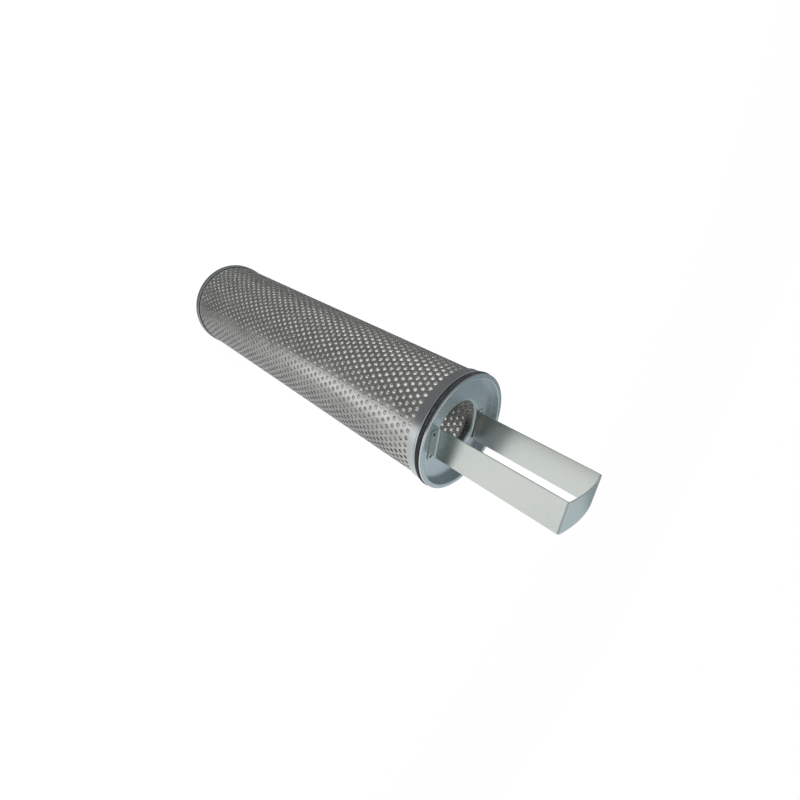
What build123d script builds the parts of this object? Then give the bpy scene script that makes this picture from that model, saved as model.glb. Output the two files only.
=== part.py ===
"""Return-line hydraulic filter element with a lifting handle.

A perforated steel tube holds a pleated glass-fibre pack round a perforated core tube. Pressed steel
caps close both ends. The top cap has a seal groove, a rim and a collared opening, and a bent strip
handle stands on its recessed face. The element stands on its bottom cap: origin at the middle of
that cap's underside, +Z along the tube towards the handle, +X across the gap between the legs.
All sizes are in millimetres.
"""

import os
from math import cos, pi, sin

from build123d import *

# Perforated outer tube
tube_radius = 63.65
tube_wall = 1.0
perforation_holes_round = 12
perforation_rows = 11
perforation_hole_radius = 9.0
perforation_corners = 6
perforation_margin = 24.0

# Perforated core tube
core_radius = 34.2
core_wall = 1.0
core_cap_clearance = 0.1
core_holes_round = 8
core_rows = 5
core_hole_radius = 7.0

# Sheet that the two caps are pressed from
cap_sheet = 1.0
cap_tube_clearance = 0.75

# Bottom cap
bottom_cap_height = 8.5
bottom_cap_corner = 1.0

# Top cap, heights above the floor that the element stands on and reaches beside the skirt
rim_top = 490.4
rim_height = 3.6
rim_overhang = 1.1
rim_fold_gap = 0.4
face_depth = 9.1
groove_width = 4.8
groove_depth = 2.2
skirt_length = 11.0
bead_overhang = 1.0
bead_height = 2.8
bead_slope = 1.0
neck_core_clearance = 0.36
neck_length = 10.0
neck_roll = 3.5
roll_folds = 2

# Seal ring
seal_section = 4.0
seal_corners = 6

# Adhesive that beds the pleats in each cap
potting_depth = 6.0
potting_clearance = 0.2

# Pleated pack, from the outside in: thickness of each layer
pleat_count = 20
pack_tube_clearance = 0.5
layer_clearance = 0.05
outer_mesh_thickness = 0.45
cover_fleece_thickness = 0.35
media_thickness = 0.6
backing_fleece_thickness = 0.35
inner_mesh_thickness = 0.45

# Handle strip
strip_width = 35.0
strip_thickness = 1.2
handle_neck_clearance = 0.3
handle_height = 146.0
handle_set_off = 5.0
handle_bow = 3.0
corner_bend = 1.6
foot_bend = 2.5
foot_length = 12.5
foot_corner = 3.0

# Heights and radii that follow from the sizes above
skirt_radius = tube_radius + cap_tube_clearance + cap_sheet
rim_radius = skirt_radius + rim_overhang
bead_radius = skirt_radius + bead_overhang
groove_floor_radius = skirt_radius - groove_depth
rim_wall_radius = groove_floor_radius - 2 * cap_sheet - rim_fold_gap
face_height = rim_top - face_depth
face_underside = face_height - cap_sheet
groove_top = rim_top - rim_height
groove_bottom = groove_top - groove_width
tube_bottom = cap_sheet
tube_top = groove_bottom - cap_sheet

# Each tube is rolled with a flat for every column of holes; these radii reach the flats' middles
tube_inner_radius = (tube_radius - tube_wall) * cos(pi / (2 * perforation_holes_round))
core_inner_radius = (core_radius - core_wall) * cos(pi / (2 * core_holes_round))

# The collar drops inside the core tube, and the handle's legs stand just outside the collar's bore
neck_radius = core_inner_radius - cap_sheet - neck_core_clearance
handle_gap = 2 * (neck_radius + handle_neck_clearance)

# The collar's roll bends down into the core tube in roll_folds steps, and the tube stops just under it
collar_end_radius = neck_radius + cap_sheet / 2 + neck_roll
roll_centre_height = face_underside + cap_sheet / 2 - neck_roll
roll_underside = neck_roll * cos(pi / (4 * roll_folds)) - cap_sheet / 2
core_inset = collar_end_radius - core_inner_radius
core_top = roll_centre_height + (roll_underside**2 - core_inset**2) ** 0.5 - core_cap_clearance


def flatted_wall(outer, wall, flats, bottom, top):
    """Tube rolled with narrow flats, whose corners lie on the outer radius."""
    flat_turn = Rot(0, 0, 180 / flats)
    ring = RegularPolygon(outer, flats) - RegularPolygon(outer - wall, flats)
    return Pos(0, 0, bottom) * flat_turn * extrude(ring, amount=top - bottom)


def perforated_tube(outer, wall, bottom, top, holes_round, rows, hole_radius, margin):
    """Tube with staggered rows of holes, every second row turned by half a step."""
    row_pitch = (top - bottom - 2 * margin) / (rows - 1)
    step = 360 / holes_round
    punch = extrude(
        RegularPolygon(hole_radius, perforation_corners, major_radius=True),
        amount=outer + wall,
    )
    punches = []
    for row in range(rows):
        height = bottom + margin + row * row_pitch
        turn = step / 2 if row % 2 else 0
        for hole in range(holes_round):
            punches.append(Pos(0, 0, height) * Rot(0, 0, turn + hole * step) * Rot(0, 90, 0) * punch)
    return flatted_wall(outer, wall, 2 * holes_round, bottom, top) - punches


def pleat_line(inner_tip, outer_tip):
    """Closed zigzag outline with pleat_count tips on each of the two radii."""
    points = []
    for fold in range(2 * pleat_count):
        angle = fold * pi / pleat_count
        radius = outer_tip if fold % 2 else inner_tip
        points.append((radius * cos(angle), radius * sin(angle)))
    return make_face(Polyline(*points, close=True))


def pleated_layers(names, thicknesses, inner_tip, outer_tip, bottom, top):
    """Nested star-shaped layers that share the ring between the two tip radii."""
    middle = (inner_tip + outer_tip) / 2
    half_pitch = middle * pi / pleat_count
    total = sum(thicknesses) + layer_clearance * (len(thicknesses) - 1)
    depth = outer_tip - inner_tip
    for _ in range(20):
        wall_angle_sine = half_pitch / (half_pitch**2 + depth**2) ** 0.5
        depth = outer_tip - inner_tip - total / wall_angle_sine
    layers = {}
    shift = 0.0
    for name, thickness in zip(names, thicknesses):
        outer_line = pleat_line(outer_tip - shift - depth, outer_tip - shift)
        shift += thickness / wall_angle_sine
        inner_line = pleat_line(outer_tip - shift - depth, outer_tip - shift)
        shift += layer_clearance / wall_angle_sine
        band = extrude(outer_line - inner_line, amount=top - bottom)
        layers[name] = Pos(0, 0, bottom) * band
    return layers


def near(section, places):
    """Corners of a section that lie at the given (radius, height) places."""
    return [v for v in section.vertices() if any(abs(v.X - r) + abs(v.Y - z) < 0.01 for r, z in places)]


def make_bottom_cap():
    """Shallow pressed pan that the tubes stand in."""
    pan = Cylinder(skirt_radius, bottom_cap_height, align=(Align.CENTER, Align.CENTER, Align.MIN))
    pan = chamfer(pan.edges().sort_by(Axis.Z)[0], bottom_cap_corner)
    inside = Pos(0, 0, cap_sheet) * Cylinder(
        skirt_radius - cap_sheet, bottom_cap_height, align=(Align.CENTER, Align.CENTER, Align.MIN)
    )
    return pan - inside


def make_top_cap():
    """Pressed cap: skirt, bead, seal groove, folded rim, recessed face and collared opening."""
    half = cap_sheet / 2
    skirt_line = skirt_radius - half
    bead_line = bead_radius - half
    groove_line = groove_floor_radius - half
    rim_line = rim_radius - half
    wall_line = rim_wall_radius + half
    neck_line = neck_radius + half
    shelf = groove_bottom - half
    roll = []
    for fold in range(roll_folds, -1, -1):
        turn = fold * pi / (2 * roll_folds)
        roll.append((collar_end_radius - neck_roll * cos(turn), roll_centre_height + neck_roll * sin(turn)))
    line = Polyline(
        (skirt_line, groove_bottom - skirt_length),
        (skirt_line, groove_bottom - bead_height),
        (bead_line, groove_bottom - bead_height + bead_slope),
        (bead_line, shelf),
        (groove_line, shelf),
        (groove_line, groove_top + half),
        (rim_line, groove_top + half),
        (rim_line, rim_top - half),
        (wall_line, rim_top - half),
        (wall_line, face_height - half),
        *roll,
        (neck_line, face_height - neck_length),
    )
    section = trace(line, line_width=cap_sheet)
    return revolve(Plane.XZ * section, axis=Axis.Z)


def make_seal_ring():
    """Ring that lies on the floor of the groove, its round section drawn with seal_corners corners."""
    centre = (groove_floor_radius + seal_section / 2, (groove_bottom + groove_top) / 2)
    section = RegularPolygon(seal_section / 2, seal_corners, major_radius=False)
    return revolve(Plane.XZ * Pos(*centre) * Rot(0, 0, 180 / seal_corners) * section, axis=Axis.Z)


def make_potting(bottom, inner_corner):
    """Ring of hard adhesive cast between the two tubes, with the same flats as theirs."""
    outer_corner = tube_radius - tube_wall - potting_clearance
    tube_flats = 2 * perforation_holes_round
    core_flats = 2 * core_holes_round
    outer = Rot(0, 0, 180 / tube_flats) * RegularPolygon(outer_corner, tube_flats)
    inner = Rot(0, 0, 180 / core_flats) * RegularPolygon(inner_corner, core_flats)
    return Pos(0, 0, bottom) * extrude(outer - inner, amount=potting_depth)


def handle_arch(half_width, corner_height, radius):
    """Area under a tall U whose end bows up by handle_bow between its two bent corners."""
    left_corner = (-half_width, corner_height)
    right_corner = (half_width, corner_height)
    crown = ThreePointArc(left_corner, (0, corner_height + handle_bow), right_corner)
    sides = Polyline(right_corner, (half_width, face_height), (-half_width, face_height), left_corner)
    area = make_face(Curve() + [crown, sides])
    return fillet(near(area, [left_corner, right_corner]), radius)


def make_handle():
    """Strip bent to a tall U, its end bowed outwards and its feet turned out on the cap's face."""
    inside = handle_gap / 2
    outside = inside + strip_thickness
    corner_height = face_height + handle_height - handle_bow
    foot_end = inside + foot_length
    foot_top = face_height + strip_thickness

    outer_arch = handle_arch(outside, corner_height, corner_bend + strip_thickness)
    inner_arch = handle_arch(inside, corner_height - strip_thickness, corner_bend)
    feet = Rectangle(2 * foot_end, strip_thickness, align=(Align.CENTER, Align.MIN))
    section = outer_arch + Pos(0, face_height) * feet - inner_arch
    upper_bends = near(section, [(-outside, foot_top), (outside, foot_top)])
    section = fillet(upper_bends, foot_bend)
    lower_bends = near(section, [(-inside, face_height), (inside, face_height)])
    section = fillet(lower_bends, foot_bend + strip_thickness)
    strip = extrude(Plane.XZ * section, amount=strip_width / 2, both=True)
    foot_edges = [e for e in strip.edges().filter_by(Axis.Z) if abs(abs(e.center().X) - foot_end) < 0.01]
    return Pos(0, -handle_set_off, 0) * fillet(foot_edges, foot_corner)


def build():
    """Every piece of the element, by node name."""
    collar_flat_corner = (collar_end_radius + potting_clearance) / cos(pi / (2 * core_holes_round))
    parts = {
        "bottom_cap": make_bottom_cap(),
        "top_cap": make_top_cap(),
        "seal_ring": make_seal_ring(),
        "handle": make_handle(),
        "outer_tube": perforated_tube(
            tube_radius, tube_wall, tube_bottom, tube_top,
            perforation_holes_round, perforation_rows, perforation_hole_radius, perforation_margin,
        ),
        "core_tube": perforated_tube(
            core_radius, core_wall, tube_bottom, core_top,
            core_holes_round, core_rows, core_hole_radius, perforation_margin,
        ),
        "bottom_potting": make_potting(tube_bottom, core_radius + potting_clearance),
        "top_potting": make_potting(face_underside - potting_depth, collar_flat_corner),
    }
    layers = pleated_layers(
        ["outer_support_mesh", "cover_fleece", "filter_media", "backing_fleece", "inner_support_mesh"],
        [outer_mesh_thickness, cover_fleece_thickness, media_thickness,
         backing_fleece_thickness, inner_mesh_thickness],
        core_radius + pack_tube_clearance,
        tube_inner_radius - pack_tube_clearance,
        tube_bottom + potting_depth,
        face_underside - potting_depth,
    )
    parts.update(layers)
    return parts


os.makedirs("parts", exist_ok=True)
for name, shape in build().items():
    export_step(shape, f"parts/{name}.step")
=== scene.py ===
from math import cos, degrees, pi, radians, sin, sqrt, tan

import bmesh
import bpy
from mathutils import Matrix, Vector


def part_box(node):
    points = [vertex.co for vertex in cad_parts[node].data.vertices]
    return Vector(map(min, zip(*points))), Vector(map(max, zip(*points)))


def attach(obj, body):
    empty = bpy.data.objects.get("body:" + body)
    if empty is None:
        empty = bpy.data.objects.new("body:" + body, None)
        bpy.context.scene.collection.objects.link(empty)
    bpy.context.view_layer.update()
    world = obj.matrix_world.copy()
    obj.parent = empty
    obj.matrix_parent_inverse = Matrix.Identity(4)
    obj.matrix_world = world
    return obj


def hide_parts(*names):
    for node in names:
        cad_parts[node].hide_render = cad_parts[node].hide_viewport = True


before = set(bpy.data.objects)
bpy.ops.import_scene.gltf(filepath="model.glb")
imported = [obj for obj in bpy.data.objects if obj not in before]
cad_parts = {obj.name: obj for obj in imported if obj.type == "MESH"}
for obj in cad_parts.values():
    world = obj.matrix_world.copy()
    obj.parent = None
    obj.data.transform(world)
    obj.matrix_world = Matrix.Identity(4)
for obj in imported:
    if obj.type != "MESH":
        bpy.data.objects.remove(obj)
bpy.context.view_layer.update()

# %% [markdown]
# The object is a hydraulic filter element: a perforated steel tube with a pleated pack inside, a
# pressed cap on each end, and a bent strip to lift it by. It stands on its bottom cap, with +Z
# along the tube. Every length in this file is in metres. The frame that was just loaded holds the
# plain solids, and each piece below takes its ends and heights from them.

MM = 0.001
tube_low, tube_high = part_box("outer_tube")
core_low, core_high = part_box("core_tube")
cap_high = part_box("top_cap")[1]
pan_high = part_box("bottom_cap")[1]
seal_low, seal_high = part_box("seal_ring")
handle_low, handle_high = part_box("handle")

# %% [markdown]
# The camera comes first, and everything else is seen through it. It stands
# above the handle's end and looks down along the tube. The picture is turned a third of a turn, so
# that the tube seems to lie across it. The wide lens makes the handle look large.

# %% Camera
CAMERA_PLACE = Vector((-0.3644, 0.2458, 0.7194))
CAMERA_AIM = Vector((-0.0016, -0.0024, 0.3965))
CAMERA_ROLL = radians(-119.52)
LENS = 20.96
SENSOR_WIDTH = 36.0
NEAREST_SEEN = 10 * MM

camera_data = bpy.data.cameras.new("camera")
camera_data.lens = LENS
camera_data.sensor_width = SENSOR_WIDTH
camera_data.clip_start = NEAREST_SEEN
camera = bpy.data.objects.new("camera", camera_data)
bpy.context.scene.collection.objects.link(camera)
look = (CAMERA_AIM - CAMERA_PLACE).to_track_quat("-Z", "Y").to_matrix()
turn = Matrix.Rotation(-CAMERA_ROLL, 3, "Z")
camera.matrix_world = Matrix.Translation(CAMERA_PLACE) @ (look @ turn).to_4x4()
bpy.context.scene.camera = camera
print("camera looks along", tuple(round(part, 3) for part in (CAMERA_AIM - CAMERA_PLACE).normalized()))

# %% [markdown]
# Shader maths reads best as ordinary expressions. The class below wraps one socket, and each
# operator adds the Math node that it stands for. The graph class has one method for every other
# node: it takes the type, the settings that are set first, and the inputs. Its small helpers are
# the few nodes that every finish here needs.

# %% Shader expressions
OBJECT_COORDINATES = 3
MIX_FACTOR, MIX_FIRST, MIX_SECOND, MIX_RESULT = 0, 6, 7, 2


class Value:
    """A number that varies over the surface, written with ordinary operators."""

    def __init__(self, graph, socket):
        self.graph = graph
        self.socket = socket

    def maths(self, operation, *others):
        return self.graph.add("ShaderNodeMath", {"operation": operation}, [self, *others])

    def __add__(self, other):
        return self.maths("ADD", other)

    def __radd__(self, other):
        return self.maths("ADD", other)

    def __sub__(self, other):
        return self.maths("SUBTRACT", other)

    def __rsub__(self, other):
        return self.graph.add("ShaderNodeMath", {"operation": "SUBTRACT"}, [other, self])

    def __mul__(self, other):
        return self.maths("MULTIPLY", other)

    def __rmul__(self, other):
        return self.maths("MULTIPLY", other)

    def at_most(self, limit):
        return self.maths("MINIMUM", limit)


class Graph:
    """The node tree of one material or of the world."""

    def __init__(self, tree):
        self.tree = tree
        tree.nodes.clear()

    def add(self, kind, settings=None, inputs=None, output=0):
        node = self.tree.nodes.new(kind)
        for name, setting in (settings or {}).items():
            if name == "stops":
                self.set_stops(node, setting)
            else:
                setattr(node, name, setting)
        pairs = enumerate(inputs) if isinstance(inputs, list) else (inputs or {}).items()
        for key, value in pairs:
            if isinstance(value, Value):
                self.tree.links.new(value.socket, node.inputs[key])
            else:
                node.inputs[key].default_value = value
        return Value(self, node.outputs[output]) if len(node.outputs) else node

    def set_stops(self, node, stops):
        ramp = node.color_ramp
        while len(ramp.elements) < len(stops):
            ramp.elements.new(0.5)
        for element, (place, colour) in zip(ramp.elements, stops):
            element.position = place
            element.color = (*colour, 1.0)

    def place(self, scale=(1.0, 1.0, 1.0)):
        """The point in the object's own metres, stretched by scale."""
        point = self.add("ShaderNodeTexCoord", output=OBJECT_COORDINATES)
        return self.add("ShaderNodeMapping", {}, {"Vector": point, "Scale": scale})

    def noise(self, point, scale, detail=3.0, roughness=0.55):
        inputs = {"Vector": point, "Scale": scale, "Detail": detail, "Roughness": roughness}
        return self.add("ShaderNodeTexNoise", {}, inputs)

    def ramp(self, value, stops):
        return self.add("ShaderNodeValToRGB", {"stops": stops}, {"Fac": value})

    def mix(self, factor, first, second):
        inputs = {MIX_FACTOR: factor, MIX_FIRST: first, MIX_SECOND: second}
        return self.add("ShaderNodeMix", {"data_type": "RGBA"}, inputs, output=MIX_RESULT)

    def bump(self, height, distance):
        return self.add("ShaderNodeBump", {}, {"Height": height, "Distance": distance, "Strength": 1.0})


def new_material(name):
    """An empty node material and its graph."""
    material = bpy.data.materials.new(name)
    material.use_nodes = True
    return material, Graph(material.node_tree)


def finish_material(graph, inputs):
    """Principled surface with the given inputs."""
    surface = graph.add("ShaderNodeBsdfPrincipled", {}, inputs)
    graph.add("ShaderNodeOutputMaterial", {}, {"Surface": surface})


# %% [markdown]
# The tubes are rolled from galvanised sheet. Its zinc is satin and slightly uneven, a little
# yellow in places, and the rolling leaves faint lines along the tube. Noise that is stretched
# along Z gives those lines, and a broad noise gives the cloudy tone. The core's sheet is duller, so
# it scatters more of the light that falls into the opening.


# %% Galvanised sheet
def galvanised_sheet(name, metallic):
    material, g = new_material(name)
    clouds = g.noise(g.place(), scale=45.0)
    lines = g.noise(g.place((1.0, 1.0, 0.06)), scale=900.0, detail=2.0)
    tone = g.ramp(clouds, [(0.3, (0.56, 0.56, 0.55)), (0.7, (0.70, 0.695, 0.675))])
    finish_material(g, {
        "Base Color": tone,
        "Metallic": metallic,
        "Roughness": clouds * 0.16 + lines * 0.10 + 0.16,
        "Normal": g.bump(lines * 0.5 + clouds * 0.5, 0.12 * MM),
    })
    return material


# %% [markdown]
# The caps and the handle are pressed from bright steel and zinc plated. The plating has a cool
# blue cast on the caps and a faint green one on the strip, drifts slowly from one tint to the
# next, and carries fine handling marks that only the roughness shows.


# %% Zinc plate
def zinc_plate(name, cool, warm, low_roughness):
    material, g = new_material(name)
    drift = g.noise(g.place(), scale=18.0, detail=2.0)
    grain = g.noise(g.place(), scale=1400.0, detail=2.0)
    marks = g.noise(g.place((1.0, 6.0, 1.0)), scale=160.0, detail=4.0)
    finish_material(g, {
        "Base Color": g.ramp(drift, [(0.32, cool), (0.68, warm)]),
        "Metallic": 1.0,
        "Roughness": marks * 0.14 + drift * 0.06 + low_roughness,
        "Normal": g.bump(grain, 0.002 * MM),
    })
    return material


# %% [markdown]
# The seal is smooth black rubber. Its moulding leaves it slightly duller in patches.


# %% Seal rubber
def seal_rubber():
    material, g = new_material("seal_rubber")
    patches = g.noise(g.place(), scale=220.0)
    finish_material(g, {
        "Base Color": g.ramp(patches, [(0.3, (0.008, 0.008, 0.009)), (0.7, (0.022, 0.022, 0.024))]),
        "Roughness": patches * 0.2 + 0.4,
        "Specular IOR Level": 0.3,
        "Normal": g.bump(patches, 0.05 * MM),
    })
    return material


# %% [markdown]
# The pack is pale glass-fibre paper and fleece between two fine support meshes. From outside it
# is the dot in every hole, and the outer mesh is painted about half as bright as the inner one, as
# painted shade for the depth of the holes. All its layers are made of short fibres or crossed
# threads, so one function serves them: bands for the threads, and a stretched noise for the
# fibres. The adhesive that beds the pack is a cast, brownish resin.


# %% Pack materials
def pack_layer(name, light, dark, thread_count, relief):
    material, g = new_material(name)
    fibres = g.noise(g.place((1.0, 1.0, 3.0)), scale=900.0, detail=4.0)
    threads = {"Vector": g.place(), "Scale": thread_count}
    weave = g.add("ShaderNodeTexWave", {"bands_direction": "Z"}, threads)
    height = fibres * 0.5 + weave * 0.5
    finish_material(g, {
        "Base Color": g.mix(height, (*dark, 1.0), (*light, 1.0)),
        "Roughness": 0.9,
        "Normal": g.bump(height, relief),
    })
    return material


def cast_adhesive():
    material, g = new_material("cast_adhesive")
    patches = g.noise(g.place(), scale=90.0, detail=4.0)
    finish_material(g, {
        "Base Color": g.ramp(patches, [(0.3, (0.30, 0.27, 0.22)), (0.7, (0.48, 0.44, 0.37))]),
        "Roughness": patches * 0.3 + 0.35,
        "Normal": g.bump(patches, 0.4 * MM),
    })
    return material


SHEET = galvanised_sheet("galvanised_sheet", 1.0)
CORE_SHEET = galvanised_sheet("dull_core_sheet", 0.86)
CAP_ZINC = zinc_plate("cap_zinc", (0.57, 0.60, 0.61), (0.64, 0.66, 0.67), 0.18)
STRIP_ZINC = zinc_plate("strip_zinc", (0.60, 0.64, 0.615), (0.65, 0.68, 0.65), 0.20)
WELD_SCAR = zinc_plate("weld_scar", (0.07, 0.07, 0.07), (0.16, 0.14, 0.12), 0.35)
RUBBER = seal_rubber()
# The outer support mesh is the same mesh as the inner one, painted about half as bright: painted shade for
# the depth of the shell's holes.
INLET_WEAVE_PAINTED_SHADE = pack_layer("inlet_weave_painted_shade", (0.41, 0.41, 0.395), (0.31, 0.31, 0.30), 520.0, 0.05 * MM)
OUTLET_WEAVE = pack_layer("outlet_weave", (0.80, 0.80, 0.78), (0.60, 0.60, 0.58), 520.0, 0.05 * MM)
FLEECE = pack_layer("fleece", (0.92, 0.92, 0.90), (0.80, 0.80, 0.78), 90.0, 0.2 * MM)
GLASS_FIBRE = pack_layer("glass_fibre", (0.94, 0.94, 0.92), (0.84, 0.84, 0.80), 60.0, 0.2 * MM)
ADHESIVE = cast_adhesive()
print(len(bpy.data.materials), "materials")

# %% [markdown]
# Every piece is finished in the same way: the bmesh becomes an object at the origin, takes its
# material, rides with the one body of this object and, where it stands for a plain solid, hides
# that solid. Sheet is drawn as a single skin and gets its wall last, because a skin is much
# easier to fold and to punch than a solid.

# %% Making a piece
SMOOTH_ANGLE = radians(35)
WALL_SMOOTH_ANGLE = radians(50)


def piece_from(name, bm, material, replaced, smooth_angle=SMOOTH_ANGLE):
    """The object that a bmesh becomes, with its look, and with the plain solid that it replaces hidden."""
    mesh = bpy.data.meshes.new(name)
    bm.to_mesh(mesh)
    bm.free()
    mesh.materials.append(material)
    piece = bpy.data.objects.new(name, mesh)
    bpy.context.scene.collection.objects.link(piece)
    mesh.shade_smooth()
    mesh.set_sharp_from_angle(angle=smooth_angle)
    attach(piece, "root")
    if replaced:
        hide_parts(replaced)
    print(name, len(mesh.polygons), "faces")
    return piece


def apply_modifiers(piece):
    """Gives the piece the mesh that its modifiers make, and takes them off."""
    shaped = piece.evaluated_get(bpy.context.evaluated_depsgraph_get())
    mesh = bpy.data.meshes.new_from_object(shaped)
    piece.modifiers.clear()
    piece.data = mesh
    return mesh


def give_wall(piece, thickness, offset, edge=0.0):
    """A wall on a single-skin piece, with crisp edges or, where edge is given, slightly rounded ones."""
    wall = piece.modifiers.new("wall", "SOLIDIFY")
    wall.thickness = thickness
    wall.offset = offset
    wall.use_even_offset = True
    if edge:
        soft_edge = piece.modifiers.new("soft_edge", "BEVEL")
        soft_edge.width = edge
        soft_edge.segments = 2
        soft_edge.limit_method = "ANGLE"
        soft_edge.angle_limit = WALL_SMOOTH_ANGLE
    walled = apply_modifiers(piece)
    walled.set_sharp_from_angle(angle=WALL_SMOOTH_ANGLE)
    print(piece.name, "walled", len(walled.polygons), "faces")
    return piece


def keep_flats(piece):
    """Shading in which large flat faces stay flat and the bends take the whole turn of the light."""
    flats = piece.modifiers.new("flats", "WEIGHTED_NORMAL")
    flats.weight = 100
    flats.keep_sharp = True
    apply_modifiers(piece)


# %% [markdown]
# The perforated sheet has its holes at the corners of equal triangles, 50 to a turn. One cell
# holds one hole: a grid of two by two loses its middle point, and the ring of eight edges that is
# left is bridged to a circle of eight. The cell is bent to the tube's radius and spun to a full
# row, and each further row is a copy of it, turned by half a step. The plain ends are grown from
# the outermost rows. A wall of sheet thickness comes last, so the holes have real depth. The holes
# are small, so eight sides are enough.

# %% Perforated tubes
HOLE_PITCH = 8.0 * MM
ROW_PITCH = HOLE_PITCH * sqrt(3) / 2
HOLE_RADIUS = 2.5 * MM
HOLE_SIDES = 8
SAME_POINT = 0.01 * MM
SAME_PLACE = 0.1 * MM
SHEET_WALL = 1.0 * MM
TUBE_RADIUS = 63.65 * MM
CORE_RADIUS = 34.2 * MM
PLAIN_END = 9.0 * MM


def sheet_cell(radius, holes_round):
    """One hole with its share of sheet, bent to the tube's radius."""
    bm = bmesh.new()
    width = 2 * pi * radius / holes_round
    grid = bmesh.ops.create_grid(bm, x_segments=2, y_segments=2, size=0.5)
    bmesh.ops.scale(bm, vec=(width, ROW_PITCH, 1.0), verts=grid["verts"])
    middle = min(bm.verts, key=lambda v: v.co.length)
    bmesh.ops.delete(bm, geom=[middle], context="VERTS")
    bmesh.ops.create_circle(bm, segments=HOLE_SIDES, radius=HOLE_RADIUS)
    bmesh.ops.bridge_loops(bm, edges=bm.edges[:])
    for vert in bm.verts:
        angle = vert.co.x / radius
        vert.co = (radius * cos(angle), radius * sin(angle), vert.co.y)
    return bm


def perforated_tube(name, radius, low, high, material, replaced):
    """Rows of cells from low to high, with a plain end above and below them."""
    holes_round = round(2 * pi * radius / HOLE_PITCH)
    rows = int((high - low - 2 * PLAIN_END) / ROW_PITCH)
    first_row = (low + high) / 2 - (rows - 1) / 2 * ROW_PITCH
    bm = sheet_cell(radius, holes_round)
    step = 2 * pi / holes_round
    bmesh.ops.spin(
        bm, geom=bm.verts[:] + bm.edges[:] + bm.faces[:], cent=(0, 0, 0), axis=(0, 0, 1),
        angle=step * (holes_round - 1), steps=holes_round - 1, use_duplicate=True,
    )
    bmesh.ops.translate(bm, vec=(0, 0, first_row), verts=bm.verts[:])
    row_geometry = bm.verts[:] + bm.edges[:] + bm.faces[:]
    for row in range(1, rows):
        copy = bmesh.ops.duplicate(bm, geom=row_geometry)["geom"]
        copied = [v for v in copy if isinstance(v, bmesh.types.BMVert)]
        turn = Matrix.Rotation(step / 2 * (row % 2), 3, "Z")
        bmesh.ops.rotate(bm, cent=(0, 0, 0), matrix=turn, verts=copied)
        bmesh.ops.translate(bm, vec=(0, 0, row * ROW_PITCH), verts=copied)
    bmesh.ops.remove_doubles(bm, verts=bm.verts[:], dist=SAME_POINT)
    for end, pick in ((low, min), (high, max)):
        edge_height = pick(v.co.z for v in bm.verts)
        at_edge = {v for v in bm.verts if abs(v.co.z - edge_height) < SAME_PLACE}
        rim = [e for e in bm.edges if e.is_boundary and at_edge.issuperset(e.verts)]
        grown = bmesh.ops.extrude_edge_only(bm, edges=rim)["geom"]
        for vert in (v for v in grown if isinstance(v, bmesh.types.BMVert)):
            vert.co.z = end
    bmesh.ops.recalc_face_normals(bm, faces=bm.faces[:])
    tube = piece_from(name, bm, material, replaced)
    print(name, "has", rows, "rows of", holes_round, "holes")
    return give_wall(tube, SHEET_WALL, -1.0)


perforated_tube("shell_tube", TUBE_RADIUS, tube_low.z, tube_high.z, SHEET, "outer_tube")
perforated_tube("inner_core_tube", CORE_RADIUS, core_low.z, core_high.z, CORE_SHEET, "core_tube")

# %% [markdown]
# The pack is folded many times between the two tubes. Its layers follow each other, so one
# function makes them all: a circle with eight points for every fold, moved to the radii of a wide
# rounded tip and a narrow slit, and extruded to the pack's height. A thin sheet that is folded this
# finely takes up much more room along the radius than its thickness, so each layer starts further
# in. The wide tips lie outside, behind the shell's holes. On the innermost layer they lie inside,
# behind the core's holes. Each point of a fold has its share of the fold's turn and of its depth.

# %% Pleated pack
FOLDS = 84
PACK_OUTER = 62.4 * MM
PACK_INNER = 35.2 * MM
FOLD_DEPTH = 12.6 * MM
WIDE_OUTSIDE = [
    (0.0, 0.0), (0.25, 0.008), (0.43, 0.03), (0.48, 0.13),
    (0.5, 1.0), (0.52, 0.13), (0.57, 0.03), (0.75, 0.008),
]
HALF_FOLD = len(WIDE_OUTSIDE) // 2
TURNED_FOLD = WIDE_OUTSIDE[HALF_FOLD:] + WIDE_OUTSIDE[:HALF_FOLD]
WIDE_INSIDE = [((share + 0.5) % 1.0, 1.0 - drop) for share, drop in TURNED_FOLD]
LAYER_FILL = 0.97
PLEAT_SMOOTH_ANGLE = radians(20)
PACK_LAYERS = [
    ("inlet_mesh", 0.15 * MM, INLET_WEAVE_PAINTED_SHADE, "support_mesh", "outer_support_mesh", WIDE_OUTSIDE),
    ("inlet_fleece", 0.12 * MM, FLEECE, "fleece", "cover_fleece", WIDE_OUTSIDE),
    ("glass_media", 0.36 * MM, GLASS_FIBRE, "glass_fibre", "filter_media", WIDE_OUTSIDE),
    ("outlet_fleece", 0.12 * MM, FLEECE, "fleece", "backing_fleece", WIDE_OUTSIDE),
    ("outlet_mesh", 0.15 * MM, OUTLET_WEAVE, "support_mesh", "inner_support_mesh", WIDE_INSIDE),
]


def folded_line(bm, outer, height, fold_shape):
    """Ring of edges with one fold after another, each through the points of fold_shape."""
    ring = bmesh.ops.create_circle(bm, segments=len(fold_shape) * FOLDS, radius=1.0)["verts"]
    for number, vert in enumerate(ring):
        fold, point = divmod(number, len(fold_shape))
        share, drop = fold_shape[point]
        angle = 2 * pi * (fold + share) / FOLDS
        reach = outer - drop * FOLD_DEPTH
        vert.co = (reach * cos(angle), reach * sin(angle), height)
    return ring


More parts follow.
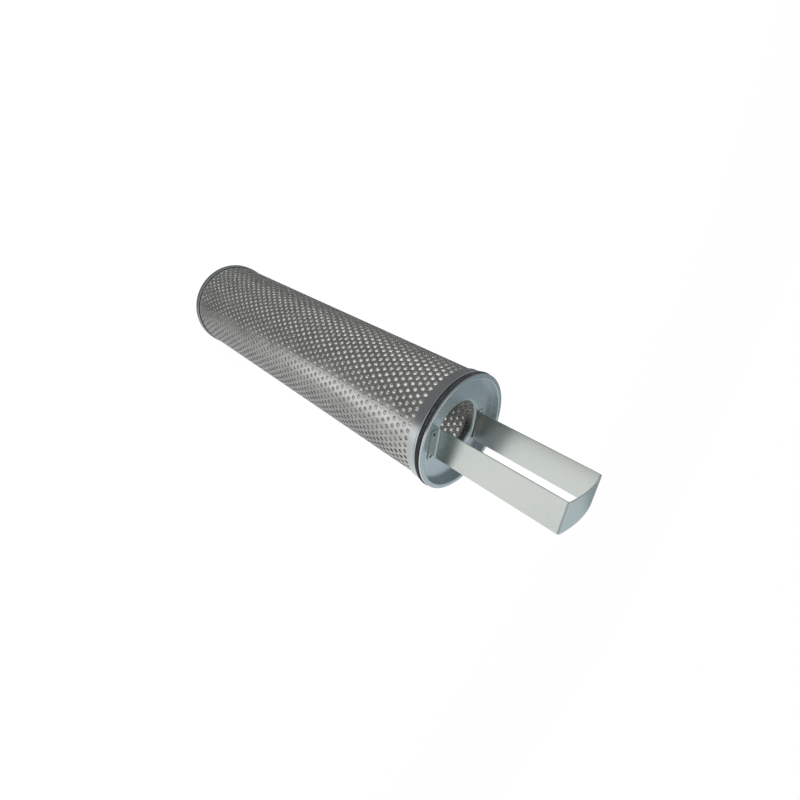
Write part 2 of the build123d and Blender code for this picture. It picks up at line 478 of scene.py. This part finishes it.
def pleated_layer(name, outer, spread, material, replaced, fold_shape):
    """One folded sheet whose outer tips lie at outer and which takes spread of the radius."""
    low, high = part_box(replaced)
    bm = bmesh.new()
    folded_line(bm, outer, low.z, fold_shape)
    folded_line(bm, outer - spread, low.z, fold_shape)
    bmesh.ops.bridge_loops(bm, edges=bm.edges[:])
    base = bm.faces[:]
    grown = bmesh.ops.extrude_face_region(bm, geom=base, use_keep_orig=True)["geom"]
    lifted = [v for v in grown if isinstance(v, bmesh.types.BMVert)]
    bmesh.ops.translate(bm, vec=(0, 0, high.z - low.z), verts=lifted)
    bmesh.ops.recalc_face_normals(bm, faces=bm.faces[:])
    return piece_from(name, bm, material, replaced, PLEAT_SMOOTH_ANGLE)


room = PACK_OUTER - PACK_INNER - FOLD_DEPTH
total_thickness = sum(layer[1] for layer in PACK_LAYERS)
outer_line = PACK_OUTER
for name, thickness, material, slot, replaced, fold_shape in PACK_LAYERS:
    spread = room * thickness / total_thickness
    pleated_layer(name, outer_line, spread * LAYER_FILL, material, replaced, fold_shape)
    outer_line -= spread

# %% [markdown]
# Each cap is pressed from one round of sheet, so it is a line turned about the axis. The middle
# line of the sheet is drawn as a chain of points, its corners are rounded by a vertex bevel, the
# chain is spun, and a wall grows equally to both sides. The rounding of a corner starts further from
# it the sharper the corner is, but never past the middle of an edge.

# %% Turned sheet
CAP_SHEET = 1.0 * MM
TURN_STEPS = 160
BEND_STEPS = 5
TURNED_POINT = 0.001 * MM
SHARPEST_CORNER = 0.05
LONGEST_SHARE = 0.49


def wire(points):
    """A chain of edges through (radius, height) points in the XZ plane."""
    bm = bmesh.new()
    verts = [bm.verts.new((x, 0.0, z)) for x, z in points]
    for first, second in zip(verts, verts[1:]):
        bm.edges.new((first, second))
    return bm


def round_corners(bm, radius_of):
    """Rounds each inner corner of a chain by its own radius."""
    corners = [v for v in bm.verts if len(v.link_edges) == 2]
    for vert in corners:
        radius = radius_of(vert.co)
        one, two = (e.other_vert(vert).co - vert.co for e in vert.link_edges)
        reach = radius / max(SHARPEST_CORNER, tan(one.angle(two) / 2))
        reach = min(reach, one.length * LONGEST_SHARE, two.length * LONGEST_SHARE)
        bmesh.ops.bevel(
            bm, geom=[vert], affect="VERTICES", offset=reach, offset_type="OFFSET",
            segments=BEND_STEPS, profile=0.5, material=-1,
        )


def turned(bm, steps=TURN_STEPS):
    """The surface that a chain sweeps when it turns once about the axis."""
    bmesh.ops.spin(
        bm, geom=bm.verts[:] + bm.edges[:], cent=(0, 0, 0), axis=(0, 0, 1),
        angle=2 * pi, steps=steps, use_merge=True,
    )
    bmesh.ops.remove_doubles(bm, verts=bm.verts[:], dist=TURNED_POINT)
    bmesh.ops.recalc_face_normals(bm, faces=bm.faces[:])
    return bm


# %% [markdown]
# The top cap carries most of what the photograph shows: a skirt over the tube, a small bead, the
# groove for the seal, a folded rim, a recessed face and a rolled collar that leads into the core.
# Its line starts at the skirt's lower edge and ends down in the collar. Radii and heights come
# from the box of the plain cap and from the handle's foot, which stands on the face.

# %% Top cap
HALF_SHEET = CAP_SHEET / 2
RIM = cap_high.x - HALF_SHEET
RIM_OVERHANG = 1.1 * MM
SKIRT = RIM - RIM_OVERHANG
SKIRT_LENGTH = 11.0 * MM
BEAD_SET_IN = 0.1 * MM
BEAD = RIM - BEAD_SET_IN
BEAD_HEIGHT = 2.8 * MM
BEAD_SLOPE = 1.0 * MM
GROOVE_DEPTH = 2.2 * MM
GROOVE_WIDTH = 4.8 * MM
GROOVE_FLOOR = SKIRT - GROOVE_DEPTH
RIM_FOLD = 1.4 * MM
RIM_WALL = GROOVE_FLOOR - RIM_FOLD
COLLAR = 31.7 * MM
COLLAR_DEPTH = 10.0 * MM
COLLAR_BEND = 3.5 * MM
CAP_BEND = 0.8 * MM
FACE = handle_low.z
GROOVE_LOW = tube_high.z + CAP_SHEET
GROOVE_HIGH = GROOVE_LOW + GROOVE_WIDTH


def cap_radius(corner):
    """Bend radius at a corner of the top cap's middle line."""
    on_collar = abs(corner.x - COLLAR) < SAME_PLACE
    return COLLAR_BEND if on_collar else CAP_BEND


top_line = wire([
    (SKIRT, GROOVE_LOW - SKIRT_LENGTH),
    (SKIRT, GROOVE_LOW - BEAD_HEIGHT),
    (BEAD, GROOVE_LOW - BEAD_HEIGHT + BEAD_SLOPE),
    (BEAD, GROOVE_LOW - HALF_SHEET),
    (GROOVE_FLOOR, GROOVE_LOW - HALF_SHEET),
    (GROOVE_FLOOR, GROOVE_HIGH + HALF_SHEET),
    (RIM, GROOVE_HIGH + HALF_SHEET),
    (RIM, cap_high.z - HALF_SHEET),
    (RIM_WALL, cap_high.z - HALF_SHEET),
    (RIM_WALL, FACE - HALF_SHEET),
    (COLLAR, FACE - HALF_SHEET),
    (COLLAR, FACE - COLLAR_DEPTH),
])
round_corners(top_line, cap_radius)
top_cap = piece_from("pressed_top_cap", turned(top_line), CAP_ZINC, "top_cap")
keep_flats(give_wall(top_cap, CAP_SHEET, 0.0))

# %% [markdown]
# The bottom cap is a shallow pan that closes the far end. The photograph shows only the edge of it,
# so it stays plain.

# %% Bottom cap
PAN = 64.9 * MM
PAN_BEND = 1.4 * MM
pan_line = wire([
    (0.0, HALF_SHEET),
    (PAN, HALF_SHEET),
    (PAN, pan_high.z),
])
round_corners(pan_line, lambda corner: PAN_BEND)
bottom_cap = piece_from("pressed_bottom_cap", turned(pan_line), CAP_ZINC, "bottom_cap")
keep_flats(give_wall(bottom_cap, CAP_SHEET, 0.0))

# %% [markdown]
# The seal is a plain round ring. It lies in the groove between the bead and the rim, and stands a
# little proud of both, as it has to close the gap to a housing. A circle is set on its edge at the
# ring's radius and turned.

# %% Seal ring
SECTION_RADIUS = 2.0 * MM
SECTION_SIDES = 16
SEAL_RADIUS = seal_high.x - SECTION_RADIUS
bm = bmesh.new()
section = bmesh.ops.create_circle(bm, segments=SECTION_SIDES, radius=SECTION_RADIUS)["verts"]
bmesh.ops.rotate(bm, cent=(0, 0, 0), matrix=Matrix.Rotation(pi / 2, 3, "X"), verts=section)
bmesh.ops.translate(bm, vec=(SEAL_RADIUS, 0, (seal_low.z + seal_high.z) / 2), verts=section)
piece_from("groove_seal", turned(bm), RUBBER, "seal_ring")

# %% [markdown]
# The handle is one strip bent four times: a foot, a leg, the bowed end, the other leg and the
# other foot. It is drawn as a chain in the XZ plane, rounded at the bends, extruded across the
# strip's width, and given its wall. The feet's outer corners are cut round, so that they don't
# catch. The end is bowed up a little, as the photograph shows.

# %% Handle
STRIP = 1.2 * MM
FOOT_LENGTH = 12.5 * MM
FOOT_CORNER = 3.0 * MM
FOOT_END = handle_high.x
LEG = FOOT_END - FOOT_LENGTH + STRIP / 2
HANDLE_BOW = 3.0 * MM
STRIP_EDGE = 0.15 * MM
FOOT_BEND = 3.1 * MM
SHOULDER_BEND = 2.2 * MM
FOOT_ZONE = 5 * MM
BOW_STEPS = 12
CORNER_STEPS = 5
foot_height = FACE + STRIP / 2
shoulder_height = handle_high.z - HANDLE_BOW - STRIP / 2


def bow(share):
    """Point on the bowed end, from one shoulder (-1) to the other (1)."""
    return (LEG * share, shoulder_height + HANDLE_BOW * (1 - share * share))


def bend_radius(corner):
    """Bend radius of the strip's middle: at the feet, at the shoulders, none along the bow."""
    if corner.z < FACE + FOOT_ZONE:
        return FOOT_BEND
    return SHOULDER_BEND if abs(abs(corner.x) - LEG) < SAME_PLACE else 0.0


handle_line = wire(
    [(-FOOT_END, foot_height), (-LEG, foot_height)]
    + [bow(-1 + number / (BOW_STEPS / 2)) for number in range(BOW_STEPS + 1)]
    + [(LEG, foot_height), (FOOT_END, foot_height)]
)
round_corners(handle_line, bend_radius)
strip = bmesh.ops.extrude_edge_only(handle_line, edges=handle_line.edges[:])["geom"]
moved = [v for v in strip if isinstance(v, bmesh.types.BMVert)]
bmesh.ops.translate(handle_line, vec=(0, handle_high.y - handle_low.y, 0), verts=moved)
bmesh.ops.translate(handle_line, vec=(0, handle_low.y, 0), verts=handle_line.verts[:])
foot_corners = [v for v in handle_line.verts if abs(abs(v.co.x) - FOOT_END) < SAME_PLACE]
bmesh.ops.bevel(
    handle_line, geom=foot_corners, affect="VERTICES", offset=FOOT_CORNER, offset_type="OFFSET",
    segments=CORNER_STEPS, profile=0.5, material=-1,
)
bmesh.ops.recalc_face_normals(handle_line, faces=handle_line.faces[:])
handle = piece_from("strip_handle", handle_line, STRIP_ZINC, "handle")
keep_flats(give_wall(handle, STRIP, 0.0, STRIP_EDGE))
print("handle stands", round(FACE, 4), "to", round(handle_high.z, 4), "and its legs are at", round(LEG, 4))

# %% [markdown]
# Each foot is spot-welded to the cap near its two outer corners. The electrodes leave a shallow
# round mark with a raised lip, and burn the zinc off it. One mark is a short line turned about its
# own middle, and three copies of it follow.

# %% Weld marks
MARK_IN = 3.6 * MM
MARK_FURTHER_IN = 0.8 * MM
MARK_SUNK = 0.1 * MM
MARK_MIDDLE = 0.06 * MM
DISH_RADIUS = 1.1 * MM
DISH_HEIGHT = 0.05 * MM
LIP_RADIUS = 1.5 * MM
LIP_HEIGHT = 0.24 * MM
MARK_RADIUS = 2.1 * MM
MARK_STEPS = 24
mark_line = wire([
    (0.0, MARK_MIDDLE),
    (DISH_RADIUS, DISH_HEIGHT),
    (LIP_RADIUS, LIP_HEIGHT),
    (MARK_RADIUS, -MARK_SUNK),
    (0.0, -MARK_SUNK),
])
marks = turned(mark_line, MARK_STEPS)
first_mark = marks.verts[:] + marks.edges[:] + marks.faces[:]
across = (handle_low.y + MARK_IN + MARK_FURTHER_IN, handle_high.y - MARK_IN - MARK_FURTHER_IN)
places = [(foot * (FOOT_END - MARK_IN), y, FACE + STRIP) for foot in (-1, 1) for y in across]
for place in places[1:]:
    copy = bmesh.ops.duplicate(marks, geom=first_mark)["geom"]
    copied = [v for v in copy if isinstance(v, bmesh.types.BMVert)]
    bmesh.ops.translate(marks, vec=place, verts=copied)
first_verts = [v for v in first_mark if isinstance(v, bmesh.types.BMVert)]
bmesh.ops.translate(marks, vec=places[0], verts=first_verts)
piece_from("foot_weld_marks", marks, WELD_SCAR, "")

# %% [markdown]
# The pack is bedded in a ring of cast adhesive at each end. Those rings are plain and lie inside
# the caps, so the frame's own solids stay and only take a finish.

# %% Adhesive rings
for name in ("top_potting", "bottom_potting"):
    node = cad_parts[name]
    node.data.materials.clear()
    node.data.materials.append(ADHESIVE)
    print(name, "keeps its solid with", len(node.data.polygons), "faces")

# %% [markdown]
# The stage is a pale floor under a white world. Polished metal looks like whatever stands round it,
# so a photographer sets cards there. A dark flag on the floor gives the tube its dark flank, on the
# side that is up in the picture. A paler card lies on the other side. The floor between them is
# bare, which gives the bright band, and two short cards near the foot end that band half way down
# the tube. Grey walls stand all round for the caps and the handle. The camera doesn't see the cards
# and walls, and they give no light: they are only there for reflections. The floor is nearly as
# white as the world, and keeps just enough of its own tone for a shadow.

# %% Floor and cards
FLOOR_REACH = 8.0
WHITE_SHARE = 0.93
CARD_STEPS = 48


def seen_directly(g):
    """1 for rays from the camera and for those in metal and glass, 0 for diffuse light."""
    path = g.tree.nodes.new("ShaderNodeLightPath")
    kinds = ("Is Camera Ray", "Is Glossy Ray", "Is Transmission Ray")
    return sum(Value(g, path.outputs[kind]) for kind in kinds).at_most(1.0)


def floor_material():
    material, g = new_material("pale_floor")
    grain = g.noise(g.place(), scale=3.0, detail=2.0)
    base = g.ramp(grain, [(0.0, (0.96, 0.96, 0.96)), (1.0, (0.98, 0.98, 0.98))])
    paper = g.add("ShaderNodeBsdfPrincipled", {}, {"Base Color": base, "Roughness": 0.9})
    white = g.add("ShaderNodeEmission", {}, {"Color": (1.0, 1.0, 1.0, 1.0), "Strength": 1.0})
    surface = g.add("ShaderNodeMixShader", {}, [seen_directly(g) * WHITE_SHARE, paper, white])
    g.add("ShaderNodeOutputMaterial", {}, {"Surface": surface})
    return material


def card_material(name, colour):
    material, g = new_material(name)
    light = g.add("ShaderNodeEmission", {}, {"Color": (*colour, 1.0), "Strength": 1.0})
    g.add("ShaderNodeOutputMaterial", {}, {"Surface": light})
    return material


def staged(name, bm, material):
    """An object that belongs to the stage and not to the model."""
    mesh = bpy.data.meshes.new(name)
    bm.to_mesh(mesh)
    bm.free()
    mesh.materials.append(material)
    stage = bpy.data.objects.new(name, mesh)
    bpy.context.scene.collection.objects.link(stage)
    return stage


def card(name, line, start, sweep, colour):
    """Card made by turning a straight line about the tube's axis, seen only in reflections."""
    bm = wire(line)
    bmesh.ops.rotate(bm, cent=(0, 0, 0), matrix=Matrix.Rotation(start, 3, "Z"), verts=bm.verts[:])
    bmesh.ops.spin(
        bm, geom=bm.verts[:] + bm.edges[:], cent=(0, 0, 0), axis=(0, 0, 1),
        angle=sweep, steps=CARD_STEPS,
    )
    piece = staged(name, bm, card_material(name, colour))
    piece.visible_camera = False
    piece.visible_diffuse = False
    piece.visible_shadow = False
    print(name, "sweeps", round(degrees(sweep)), "degrees")


bm = bmesh.new()
bmesh.ops.create_grid(bm, x_segments=4, y_segments=4, size=FLOOR_REACH)
staged("floor", bm, floor_material())

CAMERA_SIDE = radians(146.0)
CARD_HEIGHT = 0.4 * MM
PAN_FOOT = 65.6 * MM
BAND_START = 0.28
NEAR_REACH = 0.8
FAR_REACH = 3.0
WALL_REACH = 5.0
WALL_FOOT = 0.003
RAISED_FOOT = 1.5
WALL_TOP = 9.0
SHORT_FLOOR = [(PAN_FOOT, CARD_HEIGHT), (BAND_START, CARD_HEIGHT)]
NEAR_FLOOR = [(PAN_FOOT, CARD_HEIGHT), (NEAR_REACH, CARD_HEIGHT)]
WHOLE_FLOOR = [(PAN_FOOT, CARD_HEIGHT), (FAR_REACH, CARD_HEIGHT)]
WALL = [(WALL_REACH, WALL_FOOT), (WALL_REACH, WALL_TOP)]
RAISED_WALL = [(WALL_REACH, RAISED_FOOT), (WALL_REACH, WALL_TOP)]


def side(angle):
    """Azimuth that lies angle degrees anticlockwise of the camera's side."""
    return CAMERA_SIDE + radians(angle)


card("dark_flag", WHOLE_FLOOR, side(31), radians(-205), (0.19, 0.19, 0.19))
card("dusk_card", SHORT_FLOOR, side(31), radians(14), (0.29, 0.29, 0.29))
card("gap_card", SHORT_FLOOR, side(45), radians(13), (0.42, 0.43, 0.43))
card("pale_card", NEAR_FLOOR, side(58), radians(112), (0.48, 0.49, 0.49))
card("dark_surround", WALL, side(0), -pi, (0.27, 0.335, 0.365))
card("grey_surround", WALL, side(120), radians(60), (0.58, 0.67, 0.72))
card("raised_surround", RAISED_WALL, side(0), radians(120), (0.42, 0.49, 0.50))

# %% [markdown]
# One large soft lamp stands on the side that is up in the picture. A stronger one stands higher
# and beside the camera, and reaches past the handle into the opening. The world fills the rest, and
# is white where it is seen directly.

# %% Lamps and world
LAMP_SIZE = 0.9
LAMP_AIM = Vector((0, 0, 0.35))
WORLD_LIGHT = 0.9


def soft_lamp(name, azimuth, distance, height, energy):
    """Round area lamp that shines on the middle of the object and isn't seen in the metal."""
    lamp_data = bpy.data.lights.new(name, "AREA")
    lamp_data.shape = "DISK"
    lamp_data.size = LAMP_SIZE
    lamp_data.energy = energy
    lamp = bpy.data.objects.new(name, lamp_data)
    bpy.context.scene.collection.objects.link(lamp)
    lamp.location = (distance * cos(azimuth), distance * sin(azimuth), height)
    lamp.rotation_euler = (LAMP_AIM - lamp.location).to_track_quat("-Z", "Y").to_euler()
    lamp.visible_glossy = False


soft_lamp("upper_lamp", side(-75), distance=1.5, height=1.4, energy=18.0)
soft_lamp("front_lamp", side(-26), distance=1.1, height=1.7, energy=44.0)

world = bpy.data.worlds.new("studio")
bpy.context.scene.world = world
world.use_nodes = True
g = Graph(world.node_tree)
strength = seen_directly(g) * (1 - WORLD_LIGHT) + WORLD_LIGHT
sky = {"Color": (1.0, 1.0, 1.0, 1.0), "Strength": strength}
background = g.add("ShaderNodeBackground", {}, sky)
g.add("ShaderNodeOutputWorld", {}, {"Surface": background})
bpy.context.scene.view_settings.view_transform = "Standard"
print(len(bpy.data.lights), "lamps and a white world")
